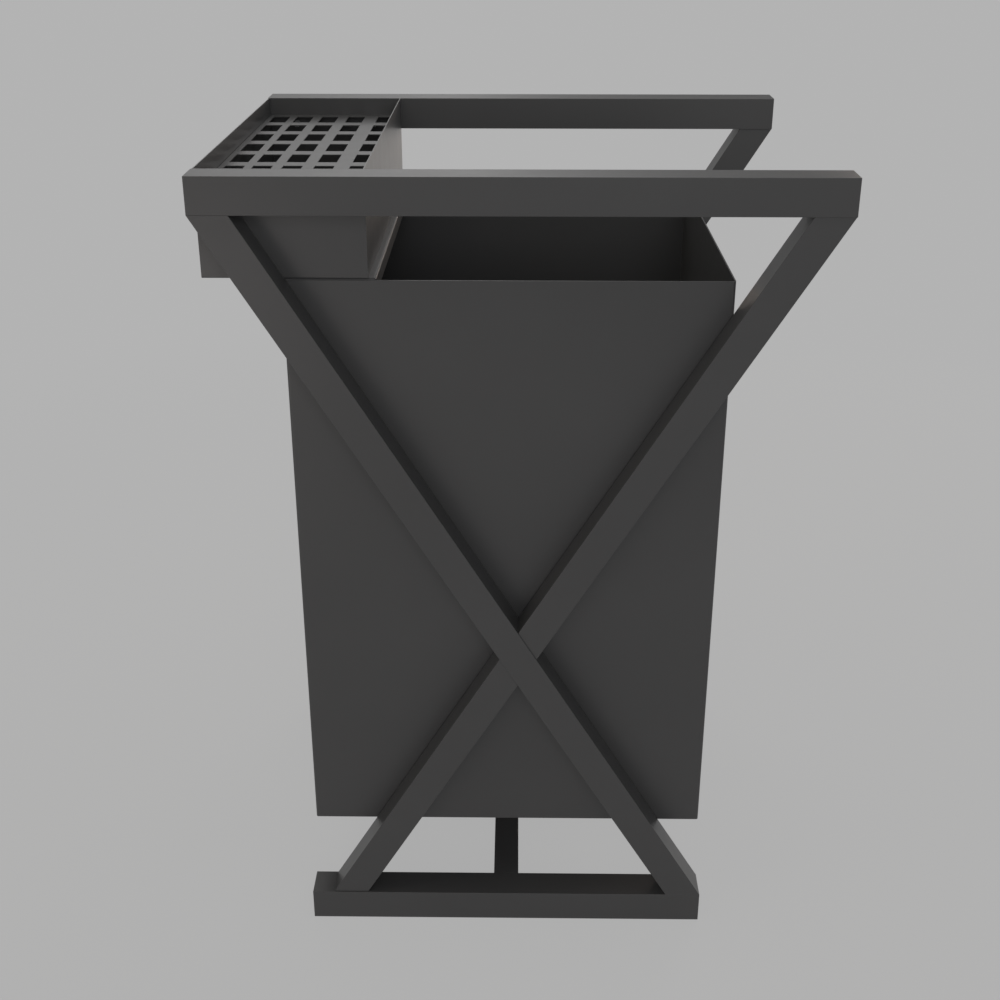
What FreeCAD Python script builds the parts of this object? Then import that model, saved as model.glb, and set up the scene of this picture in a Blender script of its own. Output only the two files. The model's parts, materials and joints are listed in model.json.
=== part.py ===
"""Outdoor waste bin: a sheet steel bin hung between two crossed-leg tube frames,
with an ash box and its lift-out grate let in between the top rails.

Millimetres. The origin is the middle of the footprint, on the ground.
+X runs to the right along the top rails, the front is towards -Y, and +Z is up.
"""
import FreeCAD, Part
import math
import os

from FreeCAD import Vector

# Overall size
FRAME_LENGTH = 650.0       # top rails, end to end
FRAME_DEPTH = 540.0        # front face of the front frame to back face of the rear frame
FRAME_HEIGHT = 900.0       # ground to the top of the rails

# Square tube of the top rails and the foot rails
RAIL_SIZE = 38.0
RAIL_WALL = 2.0
RAIL_CORNER = 0.5          # outer corner radius of every tube

# Crossed legs
LEG_WIDTH = 35.0           # across the leg, seen from the front
LEG_WALL = 2.0
LEG_INSET = 104.0          # outer corners of the legs' feet, in from the top rails' ends
FOOT_OVERHANG = 26.0       # foot rail past the left leg; at the right leg it ends flush
SHORT_LEG_STEP = 1.5       # the two short legs lie this far back from the long leg's faces

# Tube between the two foot rails
BAR_SIZE = 30.0
BAR_WALL = 2.0

# Bin
BIN_BOTTOM = 120.2         # clear height below the bin
BIN_INSET_LEFT = 3.5       # from the foot rail's left end
BIN_INSET_RIGHT = 2.0      # from the foot rail's right end
BIN_SHEET = 1.5
BIN_BEND = 1.0             # inner radius of the folds
BIN_FLOOR_FLANGE = 20.0    # the floor pan's edges are turned down by this much
BIN_FLOOR_FIT = 0.2        # round the floor pan, filled by its weld
DRAIN_DIAMETER = 12.0
DRAIN_INSET = 70.0         # drain hole centres from the bin's walls

# Ash box
BOX_INSET = 1.2            # from the rails' left end
BOX_LENGTH = 169.4
BOX_HEIGHT = 110.4
BOX_SHEET = 1.0
BOX_BEND = 0.6             # inner radius of the folds
BOX_END_FIT = 0.2          # round the end walls, filled by their welds

# Shelf that closes the bin's mouth below the ash box
SHELF_SHEET = 1.5
SHELF_BEND = 1.0           # inner radius of its folds
SHELF_RISE = 2.1           # its top above the bin's rim
SHELF_REACH = 7.6          # past the ash box
SHELF_FLANGE = 17.0        # its edges are turned down by this much
SHELF_FIT = 0.2            # round the shelf, filled by its weld

# Grate
GRATE_DROP = 21.0          # its top below the rim of the ash box
GRATE_SHEET = 1.0
GRATE_FIT = 0.5            # all round, so that it lifts out
HOLE_WIDTH = 21.0
HOLE_LENGTH = 45.0
HOLE_MARGIN = 6.7          # from the ash box's left wall to the first column
COLUMN_BARS = [9.0, 11.0, 13.0, 17.0]
ROW_BAR = 20.0
LEAST_EDGE = 5.0           # least plate left outside the holes

# Angles under the grate's short sides and square bars under its long sides
REST_LEG = 10.0            # under the grate
REST_DROP = 18.0           # down the wall
REST_SHEET = 1.5
REST_BAR = 4.0
REST_END_FIT = 0.8         # at the angles' and the bars' ends

# Flange bolts through the bin's walls into blind nuts in the legs
BOLT = 8.0                 # thread
BOLT_LENGTH = 20.0
BOLT_HEAD = 13.0           # across its flats
BOLT_HEAD_HEIGHT = 7.0     # with the flange
BOLT_FLANGE = 18.0
BOLT_FLANGE_SHEET = 1.6
BOLT_INSET = 50.0          # upper bolts from the bin's right wall; a third is where the legs cross
NUT_BODY = 11.0            # across the flats of its six-sided body
NUT_LENGTH = 18.0
NUT_FLANGE = 16.0
NUT_FLANGE_SHEET = 1.5     # it holds the bin this far off the long legs

# Screws through the ash box's walls into the top rails
SCREW = 5.0                # thread
SCREW_LENGTH = 14.0
SCREW_HEAD = 8.0           # across its flats
SCREW_HEAD_HEIGHT = 3.5
SCREW_INSET = 35.0         # from the ash box's ends
SCREW_LIFT = 4.8           # centres above the inside of the rail's lower wall

THREAD_FIT = 0.1           # round a thread or a nut's body
HOLE_FIT = 0.3             # round a thread in a sheet

# Push-in end plugs
PLUG_RECESS = 0.5          # head below the tube's end
PLUG_HEAD = 3.0
PLUG_FIT = 0.1             # round the head
PLUG_CORE = 28.0
PLUG_CORE_WALL = 2.0
PLUG_DEPTH = 20.0
PLUG_FIN = 1.2
PLUG_FIN_PITCH = 4.5
PLUG_FINS = 3
PLUG_FIN_FIT = 0.15
PLUG_CHAMFER = 1.0         # round the head's face

# Planes and edges that follow from the sizes above
HALF_LENGTH = FRAME_LENGTH / 2
HALF_DEPTH = FRAME_DEPTH / 2
RAIL_BOTTOM = FRAME_HEIGHT - RAIL_SIZE
RAIL_INNER_Y = HALF_DEPTH - RAIL_SIZE
LEG_STANCE = FRAME_LENGTH - 2 * LEG_INSET
FOOT_LEFT = -LEG_STANCE / 2 - FOOT_OVERHANG
FOOT_RIGHT = LEG_STANCE / 2
FOOT_CENTRE = (FOOT_LEFT + FOOT_RIGHT) / 2
BIN_LEFT = FOOT_LEFT + BIN_INSET_LEFT
BIN_RIGHT = FOOT_RIGHT - BIN_INSET_RIGHT
BIN_Y = RAIL_INNER_Y - NUT_FLANGE_SHEET
BOX_LEFT = -HALF_LENGTH + BOX_INSET
BOX_RIGHT = BOX_LEFT + BOX_LENGTH
BOX_BOTTOM = FRAME_HEIGHT - BOX_HEIGHT
BIN_TOP = BOX_BOTTOM - SHELF_RISE
SHELF_RIGHT = BOX_RIGHT + SHELF_REACH
GRATE_BOTTOM = FRAME_HEIGHT - GRATE_DROP - GRATE_SHEET
SCREW_Z = RAIL_BOTTOM + RAIL_WALL + SCREW_LIFT


def leg_angle():
    """Lean of the legs from the vertical, in radians.

    The leg's width fits between the rail's end above and the foot rail's end below.
    """
    run = HALF_LENGTH + LEG_STANCE / 2
    rise = RAIL_BOTTOM - RAIL_SIZE
    return math.acos(LEG_WIDTH / math.hypot(run, rise)) - math.atan2(rise, run)


LEG_ANGLE = leg_angle()


def block(x0, x1, y0, y1, z0, z1):
    return Part.makeBox(x1 - x0, y1 - y0, z1 - z0, Vector(x0, y0, z0))


def prism(width, height, radius, length):
    """Bar with rounded long edges, along +Z from the origin."""
    bar = Part.makeBox(width, height, length, Vector(-width / 2, -height / 2, 0))
    edges = [edge for edge in bar.Edges if edge.BoundBox.ZLength > length / 2]
    return bar.makeFillet(min(radius, 0.4 * min(width, height)), edges)


def square_bar(width, height, length):
    """Bar with sharp edges, along +Z from the origin."""
    return Part.makeBox(width, height, length, Vector(-width / 2, -height / 2, 0))


def tube(width, height, wall, length):
    """Hollow square or flat tube along +Z from the origin."""
    outer = prism(width, height, RAIL_CORNER, length)
    return outer.cut(square_bar(width - 2 * wall, height - 2 * wall, length))


def cylinder(radius, height, base, axis):
    return Part.makeCylinder(radius, height, base, axis)


def along_x(shape, x, y, z):
    """Turns a bar that was built along +Z to run along +X from (x, y, z)."""
    shape.rotate(Vector(0, 0, 0), Vector(0, 1, 0), 90)
    shape.translate(Vector(x, y, z))
    return shape


def along_y(shape, x, y, z):
    """Turns a bar that was built along +Z to run along +Y from (x, y, z)."""
    shape.rotate(Vector(0, 0, 0), Vector(1, 0, 0), -90)
    shape.translate(Vector(x, y, z))
    return shape


def to_rear(shape):
    """The same piece in the rear frame, which is the front frame's mirror image."""
    return shape.mirror(Vector(0, 0, 0), Vector(0, 1, 0))


def both_sides(shapes):
    return shapes + [to_rear(shape) for shape in shapes]


def leg_centre_x(z):
    """Centre line of the long leg at height z."""
    half_cut = LEG_WIDTH / math.cos(LEG_ANGLE) / 2
    return -HALF_LENGTH + half_cut + (RAIL_BOTTOM - z) * math.tan(LEG_ANGLE)


def crossing_z():
    """Height at which the legs' centre lines cross, at x = 0."""
    half_cut = LEG_WIDTH / math.cos(LEG_ANGLE) / 2
    return RAIL_BOTTOM - (HALF_LENGTH - half_cut) / math.tan(LEG_ANGLE)


def bolt_points():
    """(x, z, step) where the bin is bolted to each frame's legs.

    The step is how far the leg's inner face lies in front of the long leg's.
    """
    x = BIN_RIGHT - BOLT_INSET
    z = crossing_z() + x / math.tan(LEG_ANGLE)
    return [(-x, z, 0.0), (x, z, SHORT_LEG_STEP), (0.0, crossing_z(), 0.0)]


def screw_points():
    """(x, z) of the screws that hold the ash box to each top rail."""
    return [(BOX_LEFT + SCREW_INSET, SCREW_Z), (BOX_RIGHT - SCREW_INSET, SCREW_Z)]


def hexagon_bar(flats, y0, y1):
    """Six-sided bar along Y, given by the distance across its flats."""
    corner = flats / math.sqrt(3)
    turns = [math.radians(60 * i) for i in range(7)]
    outline = Part.makePolygon([Vector(corner * math.cos(turn), y0, corner * math.sin(turn))
                                for turn in turns])
    return Part.Face(outline).extrude(Vector(0, y1 - y0, 0))


def nut_hole(x, z, face_y):
    """Tool for a blind nut's hole, through the leg wall whose face is at face_y."""
    hole = hexagon_bar(NUT_BODY + 2 * THREAD_FIT, -1.5 * LEG_WALL, 0.5 * LEG_WALL)
    return placed(hole, x, face_y, z)


def round_hole(diameter, x, z):
    """Tool for a hole along Y through both sides of the bin or the ash box."""
    return cylinder(diameter / 2, FRAME_DEPTH, Vector(x, -HALF_DEPTH, z), Vector(0, 1, 0))


def top_rail():
    """Front top rail, with the screws' holes in its inner wall."""
    rail = along_x(tube(RAIL_SIZE, RAIL_SIZE, RAIL_WALL, FRAME_LENGTH),
                   -HALF_LENGTH, -HALF_DEPTH + RAIL_SIZE / 2, RAIL_BOTTOM + RAIL_SIZE / 2)
    for x, z in screw_points():
        rail = rail.cut(cylinder(SCREW / 2 + THREAD_FIT, 2 * RAIL_WALL,
                                 Vector(x, -RAIL_INNER_Y - 1.5 * RAIL_WALL, z),
                                 Vector(0, 1, 0)))
    return rail


def foot_rail():
    rail = tube(RAIL_SIZE, RAIL_SIZE, RAIL_WALL, FOOT_RIGHT - FOOT_LEFT)
    return along_x(rail, FOOT_LEFT, -HALF_DEPTH + RAIL_SIZE / 2, RAIL_SIZE / 2)


def lean(bar, length, side):
    """Puts a bar of the given length on a leg's centre line; side is 1 for the long leg."""
    middle_z = (RAIL_BOTTOM + RAIL_SIZE) / 2
    bar.translate(Vector(0, 0, -length / 2))
    bar.rotate(Vector(0, 0, 0), Vector(0, 1, 0), -side * math.degrees(LEG_ANGLE))
    bar.translate(Vector(side * leg_centre_x(middle_z), -HALF_DEPTH + RAIL_SIZE / 2, middle_z))
    return bar


def between_rails(shape):
    """Mitres a leg to the underside of the top rail and the top of the foot rail."""
    reach = 2 * FRAME_LENGTH
    return shape.common(block(-reach, reach, -HALF_DEPTH, 0, RAIL_SIZE, RAIL_BOTTOM))


def leg_blank_length():
    return FRAME_HEIGHT / math.cos(LEG_ANGLE) + RAIL_SIZE


def long_leg():
    """Leg in one piece, from the top left to the bottom right."""
    length = leg_blank_length()
    leg = between_rails(lean(tube(LEG_WIDTH, RAIL_SIZE, LEG_WALL, length), length, 1))
    for x, z, step in bolt_points():
        if not step:
            leg = leg.cut(nut_hole(x, z, -RAIL_INNER_Y))
    return leg


def short_legs():
    """Upper and lower leg from the top right to the bottom left, butted on the long leg."""
    length = leg_blank_length()
    depth = RAIL_SIZE - 2 * SHORT_LEG_STEP
    leg = between_rails(lean(tube(LEG_WIDTH, depth, LEG_WALL, length), length, -1))
    leg = leg.cut(lean(Part.makeBox(LEG_WIDTH, 2 * RAIL_SIZE, length,
                                    Vector(-LEG_WIDTH / 2, -RAIL_SIZE, 0)), length, 1))
    for x, z, step in bolt_points():
        if step:
            leg = leg.cut(nut_hole(x, z, -RAIL_INNER_Y - step))
    lower, upper = sorted(leg.Solids, key=lambda solid: solid.CenterOfMass.z)
    return upper, lower


def base_bar():
    """Tube between the foot rails, its top level with theirs."""
    bar = tube(BAR_SIZE, BAR_SIZE, BAR_WALL, 2 * RAIL_INNER_Y)
    return along_y(bar, FOOT_CENTRE, -RAIL_INNER_Y, RAIL_SIZE - BAR_SIZE / 2)


def end_plug():
    """Plug pushed into a tube's end; its head looks towards -X and the end is at x = 0."""
    bore = RAIL_SIZE - 2 * RAIL_WALL
    core = min(PLUG_CORE, bore - 2 * PLUG_FIN)
    head = bore - 2 * PLUG_FIT
    plug = square_bar(head, head, PLUG_HEAD)
    plug = plug.makeChamfer(PLUG_CHAMFER, [e for e in plug.Edges if e.BoundBox.ZMax < 0.01])
    plug = plug.fuse(square_bar(core, core, PLUG_DEPTH))
    for i in range(PLUG_FINS):
        fin = square_bar(bore - 2 * PLUG_FIN_FIT, bore - 2 * PLUG_FIN_FIT, PLUG_FIN)
        fin.translate(Vector(0, 0, PLUG_DEPTH - PLUG_FIN - i * PLUG_FIN_PITCH))
        plug = plug.fuse(fin)
    hollow = core - 2 * PLUG_CORE_WALL
    pocket = square_bar(hollow, hollow, PLUG_DEPTH)
    pocket.translate(Vector(0, 0, PLUG_HEAD))
    return along_x(plug.cut(pocket).removeSplitter(), PLUG_RECESS, 0, 0)


def plug_pair(left, right, z):
    """Plugs for both ends of a front rail that runs from left to right."""
    y = -HALF_DEPTH + RAIL_SIZE / 2
    first = end_plug()
    second = first.mirror(Vector(0, 0, 0), Vector(1, 0, 0))
    first.translate(Vector(left, y, z))
    second.translate(Vector(right, y, z))
    return [first, second]


def upright_prism(x0, x1, y0, y1, z0, z1, radius):
    """Upright bar with rounded corners, given by its corners."""
    bar = prism(x1 - x0, y1 - y0, radius, z1 - z0)
    bar.translate(Vector((x0 + x1) / 2, (y0 + y1) / 2, z0))
    return bar


def bin_shell():
    """Four walls folded from one sheet, open at the top and the bottom."""
    s = BIN_SHEET
    outer = upright_prism(BIN_LEFT, BIN_RIGHT, -BIN_Y, BIN_Y, BIN_BOTTOM, BIN_TOP,
                          BIN_BEND + s)
    inner = upright_prism(BIN_LEFT + s, BIN_RIGHT - s, -BIN_Y + s, BIN_Y - s,
                          BIN_BOTTOM, BIN_TOP, BIN_BEND)
    shell = outer.cut(inner)
    for x, z, _ in bolt_points():
        shell = shell.cut(round_hole(BOLT + 2 * HOLE_FIT, x, z))
    return shell


def drain_points():
    """A drain hole near each corner of the floor pan."""
    y = BIN_Y - DRAIN_INSET
    return [(x, side * y) for x in (BIN_LEFT + DRAIN_INSET, BIN_RIGHT - DRAIN_INSET)
            for side in (-1, 1)]


def low_edges(bar):
    return [edge for edge in bar.Edges if edge.BoundBox.ZMax < bar.BoundBox.ZMin + 0.01]


def folded_pan(x0, x1, y, z0, z1, sheet, bend):
    """Pan folded up on its four sides, its corners mitred and welded."""
    pan = block(x0, x1, -y, y, z0, z1)
    pan = pan.makeFillet(bend + sheet, low_edges(pan))
    hollow = block(x0 + sheet, x1 - sheet, -y + sheet, y - sheet, z0 + sheet, z1 + sheet)
    return pan.cut(hollow.makeFillet(bend, low_edges(hollow)))


def folded_channel(x0, x1, y, z0, z1, sheet, bend):
    """Channel along X, folded up on its two long sides."""
    channel = upright_prism(z0 - z1, z1 - z0, -y, y, x0, x1, bend + sheet)
    hollow = upright_prism(z0 - z1 + sheet, z1 - z0 - sheet, -y + sheet, y - sheet,
                           x0, x1, bend)
    channel = channel.cut(hollow)
    channel.rotate(Vector(0, 0, 0), Vector(0, 1, 0), 90)
    channel.translate(Vector(0, 0, z1))
    return channel.common(block(x0, x1, -y, y, z0, z1))


def turned_down_pan(x0, x1, y, top, flange, sheet, bend):
    """Flat top at the given height, with its four sides turned down.

    Its corners are notched clear of the folds at the shell's corners.
    """
    pan = folded_pan(x0, x1, y, 0, flange, sheet, bend)
    for x in (x0 - BIN_BEND, x1 - BIN_BEND):
        for side in (-1, 1):
            pan = pan.cut(block(x, x + 2 * BIN_BEND, side * y - BIN_BEND,
                                side * y + BIN_BEND, 0, flange))
    pan = pan.mirror(Vector(0, 0, 0), Vector(0, 0, 1))
    pan.translate(Vector(0, 0, top))
    return pan


def bin_floor():
    """Floor pan welded in at the bottom of the shell."""
    gap = BIN_SHEET + BIN_FLOOR_FIT
    pan = turned_down_pan(BIN_LEFT + gap, BIN_RIGHT - gap, BIN_Y - gap,
                          BIN_BOTTOM + BIN_FLOOR_FLANGE, BIN_FLOOR_FLANGE, BIN_SHEET, BIN_BEND)
    for x, y in drain_points():
        pan = pan.cut(cylinder(DRAIN_DIAMETER / 2, BIN_FLOOR_FLANGE, Vector(x, y, BIN_BOTTOM),
                               Vector(0, 0, 1)))
    return pan


def shelf():
    """Pan welded in the bin's mouth, level with the ash box's underside."""
    gap = BIN_SHEET + SHELF_FIT
    return turned_down_pan(BIN_LEFT + gap, SHELF_RIGHT, BIN_Y - gap, BOX_BOTTOM,
                           SHELF_FLANGE, SHELF_SHEET, SHELF_BEND)


def ash_box():
    """Floor and long walls of the ash box, folded from one sheet.

    The long walls lie against the top rails.
    """
    box = folded_channel(BOX_LEFT, BOX_RIGHT, RAIL_INNER_Y, BOX_BOTTOM, FRAME_HEIGHT,
                         BOX_SHEET, BOX_BEND)
    for x, z in screw_points():
        box = box.cut(round_hole(SCREW + 2 * HOLE_FIT, x, z))
    return box


def ash_box_ends():
    """End walls welded in between the long walls, on the floor."""
    gap = BOX_SHEET + BOX_END_FIT
    y = RAIL_INNER_Y - gap
    return [block(x, x + BOX_SHEET, -y, y, BOX_BOTTOM + gap, FRAME_HEIGHT)
            for x in (BOX_LEFT, BOX_RIGHT - BOX_SHEET)]


def grate_columns():
    """Left edges of the hole columns, from the ash box's inner left wall."""
    width = BOX_LENGTH - 2 * BOX_SHEET
    starts = [HOLE_MARGIN]
    for bar in COLUMN_BARS:
        starts.append(starts[-1] + HOLE_WIDTH + bar)
    return [start for start in starts if start + HOLE_WIDTH <= width - LEAST_EDGE]


def grate():
    """Flat plate with columns of long holes, which lies on the angles and the bars."""
    x0 = BOX_LEFT + BOX_SHEET
    x1 = BOX_RIGHT - BOX_SHEET
    y = RAIL_INNER_Y - BOX_SHEET
    top = GRATE_BOTTOM + GRATE_SHEET
    plate = block(x0 + GRATE_FIT, x1 - GRATE_FIT, -y + GRATE_FIT, y - GRATE_FIT,
                  GRATE_BOTTOM, top)
    pitch = HOLE_LENGTH + ROW_BAR
    rows = max(int((2 * (y - REST_LEG) + ROW_BAR) // pitch), 1)
    first = -(rows * pitch - ROW_BAR) / 2
    holes = []
    for start in grate_columns():
        for i in range(rows):
            left = x0 + start
            near = first + i * pitch
            holes.append(block(left, left + HOLE_WIDTH, near, near + HOLE_LENGTH,
                               GRATE_BOTTOM, top))
    return plate.cut(Part.makeCompound(holes))


def grate_rest():
    """Angle on the front wall of the ash box, held by the wall's own screws."""
    x0 = BOX_LEFT + BOX_SHEET + REST_END_FIT
    x1 = BOX_RIGHT - BOX_SHEET - REST_END_FIT
    wall = -RAIL_INNER_Y + BOX_SHEET
    s = REST_SHEET
    top = GRATE_BOTTOM
    corners = [(wall, top), (wall + REST_LEG, top), (wall + REST_LEG, top - s),
               (wall + s, top - s), (wall + s, top - REST_DROP), (wall, top - REST_DROP)]
    points = [Vector(x0, y, z) for y, z in corners]
    angle = Part.Face(Part.makePolygon(points + points[:1])).extrude(Vector(x1 - x0, 0, 0))
    for x, z in screw_points():
        angle = angle.cut(round_hole(SCREW + 2 * HOLE_FIT, x, z))
    return angle


def side_grate_rests():
    """Square bars welded to the ash box's end walls, under the grate's long sides."""
    half = RAIL_INNER_Y - BOX_SHEET - REST_LEG - REST_END_FIT
    left = BOX_LEFT + BOX_SHEET
    right = BOX_RIGHT - BOX_SHEET - REST_BAR
    return [block(x, x + REST_BAR, -half, half, GRATE_BOTTOM - REST_BAR, GRATE_BOTTOM)
            for x in (left, right)]


def hexagon_bolt(thread, length, flats, head_height):
    """Bolt whose shank runs along -Y from y = 0, with its head above."""
    shank = cylinder(thread / 2, length, Vector(0, -length, 0), Vector(0, 1, 0))
    return shank.fuse(hexagon_bar(flats, 0, head_height))


def flange_disc(diameter, sheet):
    """Round flange on the XZ plane, from y = 0 to the sheet's thickness."""
    return cylinder(diameter / 2, sheet, Vector(0, 0, 0), Vector(0, 1, 0))


def blind_nut(step):
    """Six-sided blind nut; its flange lies on the leg's face at y = 0.

    The flange is thicker by the step of the leg, so that every nut carries the bin.
    """
    flange = NUT_FLANGE_SHEET + step
    nut = hexagon_bar(NUT_BODY, NUT_FLANGE_SHEET - NUT_LENGTH, 0)
    nut = nut.fuse(flange_disc(NUT_FLANGE, flange))
    return nut.cut(cylinder(BOLT / 2 + THREAD_FIT, NUT_LENGTH + flange,
                            Vector(0, -NUT_LENGTH, 0), Vector(0, 1, 0)))


def placed(shape, x, y, z):
    copy = shape.copy()
    copy.translate(Vector(x, y, z))
    return copy


def bin_fixings():
    """Flange bolts from inside the bin, and their blind nuts in the front legs."""
    bolt = hexagon_bolt(BOLT, BOLT_LENGTH, BOLT_HEAD, BOLT_HEAD_HEIGHT)
    bolt = bolt.fuse(flange_disc(BOLT_FLANGE, BOLT_FLANGE_SHEET))
    bolts = [placed(bolt, x, -BIN_Y + BIN_SHEET, z) for x, z, _ in bolt_points()]
    nuts = [placed(blind_nut(step), x, -RAIL_INNER_Y - step, z)
            for x, z, step in bolt_points()]
    return bolts, nuts


def box_screws():
    """Screws from inside the ash box, through the angle and the wall, into the rail."""
    screw = hexagon_bolt(SCREW, SCREW_LENGTH, SCREW_HEAD, SCREW_HEAD_HEIGHT)
    inner = -RAIL_INNER_Y + BOX_SHEET + REST_SHEET
    return [placed(screw, x, inner, z) for x, z in screw_points()]


def nodes():
    """Every sub-part by its name."""
    rail = top_rail()
    foot = foot_rail()
    leg = long_leg()
    upper, lower = short_legs()
    rest = grate_rest()
    bolts, nuts = bin_fixings()
    rail_plugs = plug_pair(-HALF_LENGTH, HALF_LENGTH, FRAME_HEIGHT - RAIL_SIZE / 2)
    foot_plugs = plug_pair(FOOT_LEFT, FOOT_RIGHT, RAIL_SIZE / 2)
    return {
        "front_top_rail": rail,
        "rear_top_rail": to_rear(rail),
        "front_foot_rail": foot,
        "rear_foot_rail": to_rear(foot),
        "front_long_leg": leg,
        "rear_long_leg": to_rear(leg),
        "front_upper_leg": upper,
        "rear_upper_leg": to_rear(upper),
        "front_lower_leg": lower,
        "rear_lower_leg": to_rear(lower),
        "base_bar": base_bar(),
        "rail_end_plugs": Part.makeCompound(both_sides(rail_plugs)),
        "foot_end_plugs": Part.makeCompound(both_sides(foot_plugs)),
        "bin_shell": bin_shell(),
        "bin_floor": bin_floor(),
        "bin_bolts": Part.makeCompound(both_sides(bolts)),
        "leg_blind_nuts": Part.makeCompound(both_sides(nuts)),
        "ash_box": ash_box(),
        "ash_box_ends": Part.makeCompound(ash_box_ends()),
        "ash_box_screws": Part.makeCompound(both_sides(box_screws())),
        "mouth_shelf": shelf(),
        "front_grate_rest": rest,
        "rear_grate_rest": to_rear(rest),
        "side_grate_rests": Part.makeCompound(side_grate_rests()),
        "ash_grate": grate(),
    }


def main():
    os.makedirs("parts", exist_ok=True)
    for name, shape in nodes().items():
        if not shape.isValid():
            raise RuntimeError(name + " is not a valid solid")
        shape.exportStep("parts/" + name + ".step")
        box = shape.BoundBox
        print("%-18s %2d solids  x %7.1f %7.1f  y %7.1f %7.1f  z %6.1f %6.1f" % (
            name, len(shape.Solids), box.XMin, box.XMax, box.YMin, box.YMax,
            box.ZMin, box.ZMax))


main()
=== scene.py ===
"""Looks of the outdoor waste bin: powder coat, plastic and zinc, welds, studio light and camera."""

import json
import math
from collections import namedtuple

import bmesh
import bpy
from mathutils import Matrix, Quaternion, Vector


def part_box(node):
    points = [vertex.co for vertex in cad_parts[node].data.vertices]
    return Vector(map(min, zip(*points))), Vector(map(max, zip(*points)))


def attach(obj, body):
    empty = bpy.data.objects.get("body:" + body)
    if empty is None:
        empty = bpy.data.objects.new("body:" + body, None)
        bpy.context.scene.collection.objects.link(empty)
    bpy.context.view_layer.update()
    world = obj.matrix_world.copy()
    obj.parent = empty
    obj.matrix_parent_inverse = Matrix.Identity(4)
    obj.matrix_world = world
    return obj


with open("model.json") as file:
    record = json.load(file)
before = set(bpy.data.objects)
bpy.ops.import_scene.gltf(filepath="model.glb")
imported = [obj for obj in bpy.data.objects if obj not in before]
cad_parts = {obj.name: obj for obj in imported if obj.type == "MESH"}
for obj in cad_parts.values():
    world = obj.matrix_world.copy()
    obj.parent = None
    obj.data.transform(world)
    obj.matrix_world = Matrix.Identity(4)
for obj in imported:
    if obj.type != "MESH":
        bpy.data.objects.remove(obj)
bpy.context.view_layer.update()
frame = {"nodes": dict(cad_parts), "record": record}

# Camera of the photograph, worked out from the frame's straight edges
CAMERA_PLACE = (-0.0035, -1.6058, 1.1672)
CAMERA_PITCH = 24.398          # degrees below the horizon
CAMERA_TURN = 0.715            # degrees to the left
CAMERA_LENS = 50.0             # millimetres
CAMERA_SENSOR = 36.0           # millimetres

# Rectangular lamps: spin about the beam in degrees, sizes in metres, power in watts
Lamp = namedtuple("Lamp", "name place target spin width height power colour")
LAMPS = [
    Lamp("long_softbox", (0.064, 0.405, 1.730), (0.0, 0.0, 0.6), 34.3, 0.97, 2.96,
         9.0, (1.0, 0.99, 0.99)),
    Lamp("upper_left", (-0.9, -0.4, 2.2), (0.0, 0.0, 0.5), 0.0, 1.0, 1.0,
         4.7, (1.0, 0.93, 0.80)),
    Lamp("low_left", (-0.9, -1.5, 0.35), (-0.1, -0.3, 0.3), 0.0, 0.8, 0.5,
         1.8, (1.0, 0.90, 0.85)),
    Lamp("right_back", (1.7, 2.6, 0.9), (0.0, 0.0, 0.6), 0.0, 1.2, 1.0,
         24.0, (1.0, 0.85, 0.74)),
    Lamp("front", (0.3, -3.2, 1.9), (0.0, 0.0, 0.5), 0.0, 1.4, 1.4,
         16.9, (0.99, 0.99, 1.0)),
]

# Floor and backdrop; the greys are linear
BACKGROUND = 0.452             # grey that is seen round the object
BACKDROP_TOP = 0.15            # grey of the backdrop's darker upper part
BACKDROP_FADE = 0.28           # sine of the elevation at which it is that dark
FLOOR_PAINT = 0.80             # grey that the floor has for light that falls on it
FLOOR_SHADE = 0.12             # share of the lit floor, with its shadow, in what is seen
SHADE_NEAR = 0.6               # that share holds to here, in metres from the object's middle,
SHADE_FAR = 2.2                # and is gone from here on
FLOOR_HALF = 40.0              # half of the floor's side, in metres
FLOOR_DROP = 0.0003            # keeps the floor clear of the foot rails, in metres

# Colours, linear, and roughness
ANTHRACITE = (0.068, 0.068, 0.069)
COAT_TONE_DRIFT = 0.05         # share of the colour, up and down
COAT_ROUGH_DRIFT = 0.015       # up and down
SATIN_ROUGH = 0.36
BOX_ROUGH = 0.32
PLASTIC_TONES = ((0.022, 0.022, 0.023), (0.034, 0.034, 0.035))
ZINC_TONES = ((0.50, 0.51, 0.52), (0.60, 0.61, 0.62))

# Weld beads, in metres
BEAD_STEP = 0.0008             # between the rings of a bead
BEAD_RIPPLE = 0.0024           # length of a ripple
BEAD_DEPTH = 0.12              # depth of a ripple, as a share of the bead's radius
BEAD_TIP = 0.45                # size of a bead's ends, as a share of its radius
BEAD_TURNS = [math.radians(45 * i) for i in range(8)]
BEAD_END = 0.002               # from a joint's end to its bead's
BAR_BEAD = 0.0020              # radius on the base bar
BAR_UNDER_END = 0.001          # from its underside to its upright beads
BAR_TOP_END = 0.003            # from those beads to its top
SEAM_BEAD = 0.0008             # radius on the legs' and the shelf's seams
LEG_SEAM = 0.040               # seam of a leg's end on a rail
SHORT_STEP = 0.0015            # from a long leg's inner face to a short leg's
SHEET_BEAD = 0.0009            # radius on the bin's upright seam
SHEET_SINK = 0.0004            # of that bead's middle, into the wall from its outer face
SHEET_END = 0.001              # from the wall's edges to that bead's ends
SEAM_X = 0.060                 # of the bin's upright seam
STITCH_BEAD = 0.0016           # radius of the floor pan's stitches
STITCH = 0.020                 # length of a stitch
STITCHES = 5                   # along each side of the floor pan
SHELF_STITCHES = (0.25, 0.75)  # places along the shelf's sides, as shares
BOX_BEAD = 0.0004              # radius on the ash box's corners
BOX_SINK = 0.0005              # of that bead's middle, into the end wall from its outer face
BOX_TOP_END = 0.0006           # from that bead's top to the box's rim


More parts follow.
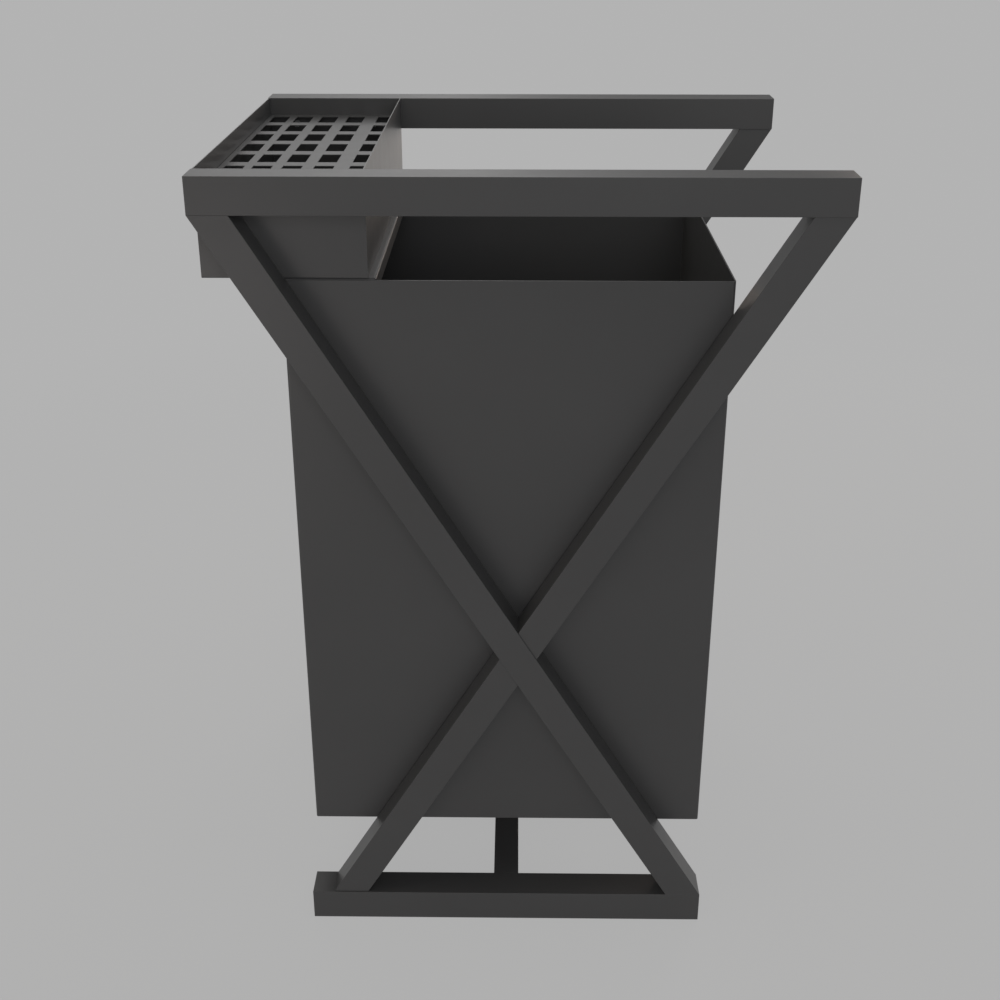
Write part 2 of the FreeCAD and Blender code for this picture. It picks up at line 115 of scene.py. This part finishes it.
def new_material(name):
    """Material with a Principled shader; returns it, its node tree and the shader."""
    material = bpy.data.materials.new(name)
    material.use_nodes = True
    tree = material.node_tree
    shader = tree.nodes["Principled BSDF"]
    return material, tree, shader


def noise(tree, scale, detail):
    """Noise in the object's own metres; returns its value socket."""
    place = tree.nodes.new("ShaderNodeTexCoord")
    node = tree.nodes.new("ShaderNodeTexNoise")
    node.inputs["Scale"].default_value = scale
    node.inputs["Detail"].default_value = detail
    tree.links.new(place.outputs["Object"], node.inputs["Vector"])
    return node.outputs[0]


def spread(tree, value, low, high, start=0.3, end=0.7):
    """Maps a value between start and end, by default a noise's range, to between low and high."""
    node = tree.nodes.new("ShaderNodeMapRange")
    node.inputs["From Min"].default_value = start
    node.inputs["From Max"].default_value = end
    node.inputs["To Min"].default_value = low
    node.inputs["To Max"].default_value = high
    tree.links.new(value, node.inputs["Value"])
    return node.outputs["Result"]


def blend_colours(tree, value, first, second):
    """Mixes two colours by a value from 0 to 1; a Mix node's colour sockets are 6, 7 and 2."""
    node = tree.nodes.new("ShaderNodeMix")
    node.data_type = "RGBA"
    node.inputs[6].default_value = (*first, 1.0)
    node.inputs[7].default_value = (*second, 1.0)
    tree.links.new(value, node.inputs[0])
    return node.outputs[2]


def add_bump(tree, shader, heights, strength, distance):
    """Bump from the sum of (value, weight) pairs."""
    total = None
    for value, weight in heights:
        scaled = tree.nodes.new("ShaderNodeMath")
        scaled.operation = "MULTIPLY_ADD"
        scaled.inputs[1].default_value = weight
        scaled.inputs[2].default_value = 0.0
        tree.links.new(value, scaled.inputs[0])
        if total is not None:
            tree.links.new(total, scaled.inputs[2])
        total = scaled.outputs[0]
    bump = tree.nodes.new("ShaderNodeBump")
    bump.inputs["Strength"].default_value = strength
    bump.inputs["Distance"].default_value = distance
    tree.links.new(total, bump.inputs["Height"])
    tree.links.new(bump.outputs["Normal"], shader.inputs["Normal"])


def powder_coat(name, colour, rough):
    """Satin powder coat: orange peel, fine grain, and small drifts of tone and gloss."""
    material, tree, shader = new_material(name)
    peel = noise(tree, scale=420.0, detail=2.0)
    grain = noise(tree, scale=2600.0, detail=1.0)
    drift = noise(tree, scale=5.0, detail=3.0)
    patches = noise(tree, scale=38.0, detail=4.0)
    dark = tuple((1.0 - COAT_TONE_DRIFT) * c for c in colour)
    light = tuple((1.0 + COAT_TONE_DRIFT) * c for c in colour)
    tone = spread(tree, drift, 0.0, 1.0)
    tree.links.new(blend_colours(tree, tone, dark, light), shader.inputs["Base Color"])
    gloss = spread(tree, patches, rough - COAT_ROUGH_DRIFT, rough + COAT_ROUGH_DRIFT)
    tree.links.new(gloss, shader.inputs["Roughness"])
    shader.inputs["IOR"].default_value = 1.5
    add_bump(tree, shader, [(peel, 1.0), (grain, 0.35)], strength=0.05, distance=0.0001)
    return material


def moulded_plastic(name):
    """Matt black plastic with a spark-eroded grain."""
    material, tree, shader = new_material(name)
    grain = noise(tree, scale=1800.0, detail=3.0)
    tone = spread(tree, noise(tree, scale=60.0, detail=2.0), 0.0, 1.0)
    tree.links.new(blend_colours(tree, tone, *PLASTIC_TONES), shader.inputs["Base Color"])
    tree.links.new(spread(tree, grain, 0.52, 0.68), shader.inputs["Roughness"])
    add_bump(tree, shader, [(grain, 1.0)], strength=0.3, distance=0.0003)
    return material


def zinc_plate(name):
    """Zinc-plated steel with a faint crystal pattern."""
    material, tree, shader = new_material(name)
    place = tree.nodes.new("ShaderNodeTexCoord")
    crystal = tree.nodes.new("ShaderNodeTexVoronoi")
    crystal.inputs["Scale"].default_value = 700.0
    tree.links.new(place.outputs["Object"], crystal.inputs["Vector"])
    tone = spread(tree, crystal.outputs["Distance"], 0.0, 1.0, start=0.0, end=0.8)
    tree.links.new(blend_colours(tree, tone, *ZINC_TONES), shader.inputs["Base Color"])
    gloss = spread(tree, noise(tree, scale=900.0, detail=2.0), 0.28, 0.42)
    tree.links.new(gloss, shader.inputs["Roughness"])
    shader.inputs["Metallic"].default_value = 1.0
    rough = noise(tree, scale=1500.0, detail=2.0)
    add_bump(tree, shader, [(rough, 1.0)], strength=0.15, distance=0.0002)
    return material


def dress_nodes(materials):
    """Gives every CAD node the material of its slot in the record."""
    for part in frame["record"]["subparts"]:
        node = frame["nodes"][part["node"]]
        node.data.materials.clear()
        node.data.materials.append(materials[part["material_slot"]])


def add_bead(shape, start, end, radius, depth=BEAD_DEPTH):
    """Weld bead along a straight joint, tapered at its ends; depth is its ripple's share."""
    start, end = Vector(start), Vector(end)
    along = (end - start).normalized()
    side = along.orthogonal().normalized()
    rise = along.cross(side)
    length = (end - start).length
    steps = max(round(length / BEAD_STEP), 4)
    rings = []
    for i in range(steps + 1):
        reach = length * i / steps
        ripple = 1.0 - depth * (1.0 - abs(math.sin(math.pi * reach / BEAD_RIPPLE)))
        taper = min(1.0, BEAD_TIP + min(reach, length - reach) / (2.0 * radius))
        size = radius * ripple * taper
        place = start + along * reach
        ring = []
        for turn in BEAD_TURNS:
            outward = math.cos(turn) * side + math.sin(turn) * rise
            ring.append(shape.verts.new(place + size * outward))
        rings.append(ring)
    for first, second in zip(rings, rings[1:]):
        for i in range(len(BEAD_TURNS)):
            j = (i + 1) % len(BEAD_TURNS)
            shape.faces.new((first[i], first[j], second[j], second[i]))
    shape.faces.new(reversed(rings[0]))
    shape.faces.new(rings[-1])


def build_welds(name, beads, materials, slot):
    """One piece from beads, as add_bead takes them, under the same paint as what they join."""
    shape = bmesh.new()
    for bead in beads:
        add_bead(shape, *bead)
    mesh = bpy.data.meshes.new(name)
    shape.to_mesh(mesh)
    shape.free()
    for face in mesh.polygons:
        face.use_smooth = True
    mesh.materials.append(materials[slot])
    piece = bpy.data.objects.new(name, mesh)
    bpy.context.collection.objects.link(piece)
    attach(piece, "root")


def frame_beads():
    """Base bar to the foot rails, and the legs' inner seams on the rails."""
    (x0, y0, z0), (x1, y1, z1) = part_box("base_bar")
    beads = []
    for y in (y0, y1):
        beads += [((x, y, z0 + BAR_UNDER_END), (x, y, z1 - BAR_TOP_END), BAR_BEAD)
                  for x in (x0, x1)]
        beads.append(((x0 + BEAD_END, y, z0), (x1 - BEAD_END, y, z0), BAR_BEAD))
    for node, y, end in (("front_upper_leg", y0 - SHORT_STEP, "top"),
                         ("rear_upper_leg", y1 + SHORT_STEP, "top"),
                         ("front_lower_leg", y0 - SHORT_STEP, "left"),
                         ("rear_lower_leg", y1 + SHORT_STEP, "left"),
                         ("front_long_leg", y0, "right"), ("rear_long_leg", y1, "right")):
        low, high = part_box(node)
        z = high.z if end == "top" else low.z
        near, far = (low.x, low.x + LEG_SEAM) if end == "left" else (high.x - LEG_SEAM, high.x)
        beads.append(((near + BEAD_END, y, z), (far - BEAD_END, y, z), SEAM_BEAD))
    return beads


def bin_beads():
    """Upright seam on the rear wall, stitches round the floor pan and under the shelf's sides."""
    (_, _, z0), (_, y1, z1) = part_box("bin_shell")
    seam_y = y1 - SHEET_SINK
    beads = [((SEAM_X, seam_y, z0 + SHEET_END), (SEAM_X, seam_y, z1 - SHEET_END), SHEET_BEAD)]
    (x0, y0, _), (x1, y1, top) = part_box("bin_floor")
    for i in range(STITCHES):
        share = (i + 0.5) / STITCHES
        x = x0 + share * (x1 - x0)
        y = y0 + share * (y1 - y0)
        for wall in (y0, y1):
            beads.append(((x - STITCH / 2, wall, top), (x + STITCH / 2, wall, top), STITCH_BEAD))
        for wall in (x0, x1):
            beads.append(((wall, y - STITCH / 2, top), (wall, y + STITCH / 2, top), STITCH_BEAD))
    (x0, y0, under), (x1, y1, _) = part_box("mouth_shelf")
    for share in SHELF_STITCHES:
        x = x0 + share * (x1 - x0)
        for wall in (y0, y1):
            beads.append(((x - STITCH / 2, wall, under), (x + STITCH / 2, wall, under), SEAM_BEAD))
    return beads


def box_beads():
    """Ground seams, without a ripple, at the ash box's four upright corners."""
    (x0, y0, z0), (x1, y1, z1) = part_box("ash_box_ends")
    return [((x, y, z0), (x, y, z1 - BOX_TOP_END), BOX_BEAD, 0.0)
            for x in (x0 + BOX_SINK, x1 - BOX_SINK) for y in (y0, y1)]


def math_node(tree, operation, first, second):
    """Math node on two value sockets; returns its value socket."""
    node = tree.nodes.new("ShaderNodeMath")
    node.operation = operation
    tree.links.new(first, node.inputs[0])
    tree.links.new(second, node.inputs[1])
    return node.outputs[0]


def seen_ray(tree):
    """1 for rays that see the background: from the camera, mirrored, or through glass."""
    path = tree.nodes.new("ShaderNodeLightPath")
    mirrored = math_node(tree, "MAXIMUM", path.outputs["Is Glossy Ray"],
                         path.outputs["Is Transmission Ray"])
    return math_node(tree, "MAXIMUM", path.outputs["Is Camera Ray"], mirrored)


def floor_material():
    """Pale painted floor; where it is seen, it is mostly the background's plain grey."""
    material = bpy.data.materials.new("floor")
    material.use_nodes = True
    tree = material.node_tree
    tree.nodes.clear()
    output = tree.nodes.new("ShaderNodeOutputMaterial")
    paint = tree.nodes.new("ShaderNodeBsdfDiffuse")
    paint.inputs["Color"].default_value = (FLOOR_PAINT, FLOOR_PAINT, FLOOR_PAINT, 1.0)
    plain = tree.nodes.new("ShaderNodeEmission")
    plain.inputs["Color"].default_value = (BACKGROUND, BACKGROUND, BACKGROUND, 1.0)
    place = tree.nodes.new("ShaderNodeTexCoord")
    reach = tree.nodes.new("ShaderNodeVectorMath")
    reach.operation = "LENGTH"
    tree.links.new(place.outputs["Object"], reach.inputs[0])
    share = spread(tree, reach.outputs["Value"], 1.0 - FLOOR_SHADE, 1.0, SHADE_NEAR, SHADE_FAR)
    mix = tree.nodes.new("ShaderNodeMixShader")
    tree.links.new(math_node(tree, "MULTIPLY", seen_ray(tree), share), mix.inputs[0])
    tree.links.new(paint.outputs[0], mix.inputs[1])
    tree.links.new(plain.outputs[0], mix.inputs[2])
    tree.links.new(mix.outputs[0], output.inputs["Surface"])
    return material


def build_floor():
    """One large square under the object."""
    mesh = bpy.data.meshes.new("floor")
    shape = bmesh.new()
    corners = [shape.verts.new((x, y, -FLOOR_DROP)) for x, y in
               [(-FLOOR_HALF, -FLOOR_HALF), (FLOOR_HALF, -FLOOR_HALF),
                (FLOOR_HALF, FLOOR_HALF), (-FLOOR_HALF, FLOOR_HALF)]]
    shape.faces.new(corners)
    shape.to_mesh(mesh)
    shape.free()
    mesh.materials.append(floor_material())
    floor = bpy.data.objects.new("floor", mesh)
    bpy.context.collection.objects.link(floor)


def build_lamps():
    """The studio's softboxes, which light the object and show in its gloss."""
    for lamp in LAMPS:
        light = bpy.data.lights.new(lamp.name, "AREA")
        light.shape = "RECTANGLE"
        light.size = lamp.width
        light.size_y = lamp.height
        light.energy = lamp.power
        light.color = lamp.colour
        holder = bpy.data.objects.new(lamp.name, light)
        holder.location = lamp.place
        turn = (Vector(lamp.place) - Vector(lamp.target)).to_track_quat("Z", "Y")
        turn @= Quaternion((0.0, 0.0, 1.0), math.radians(lamp.spin))
        holder.rotation_euler = turn.to_euler()
        holder.visible_camera = False
        bpy.context.collection.objects.link(holder)


def build_backdrop():
    """World that goes on from the floor's grey and darkens upwards, the same for every ray."""
    world = bpy.data.worlds.new("studio")
    world.use_nodes = True
    tree = world.node_tree
    place = tree.nodes.new("ShaderNodeTexCoord")
    parts = tree.nodes.new("ShaderNodeSeparateXYZ")
    tree.links.new(place.outputs["Generated"], parts.inputs[0])
    grey = spread(tree, parts.outputs["Z"], BACKGROUND, BACKDROP_TOP, 0.0, BACKDROP_FADE)
    tree.links.new(grey, tree.nodes["Background"].inputs["Color"])
    bpy.context.scene.world = world


def build_camera():
    """Camera at the photograph's view."""
    camera = bpy.data.cameras.new("photo_camera")
    camera.lens = CAMERA_LENS
    camera.sensor_width = CAMERA_SENSOR
    holder = bpy.data.objects.new("photo_camera", camera)
    holder.location = CAMERA_PLACE
    holder.rotation_euler = (math.radians(90.0 - CAMERA_PITCH), 0.0, math.radians(CAMERA_TURN))
    bpy.context.collection.objects.link(holder)
    bpy.context.scene.camera = holder


materials = {
    "frame_paint": powder_coat("frame_paint", ANTHRACITE, SATIN_ROUGH),
    "bin_paint": powder_coat("bin_paint", ANTHRACITE, SATIN_ROUGH),
    "box_paint": powder_coat("box_paint", ANTHRACITE, BOX_ROUGH),
    "grate_paint": powder_coat("grate_paint", ANTHRACITE, SATIN_ROUGH),
    "plug_plastic": moulded_plastic("plug_plastic"),
    "zinc_steel": zinc_plate("zinc_steel"),
}
dress_nodes(materials)
build_welds("frame_welds", frame_beads(), materials, "frame_paint")
build_welds("bin_welds", bin_beads(), materials, "bin_paint")
build_welds("ash_box_welds", box_beads(), materials, "box_paint")
build_floor()
build_lamps()
build_backdrop()
build_camera()
bpy.context.scene.view_settings.view_transform = "Standard"
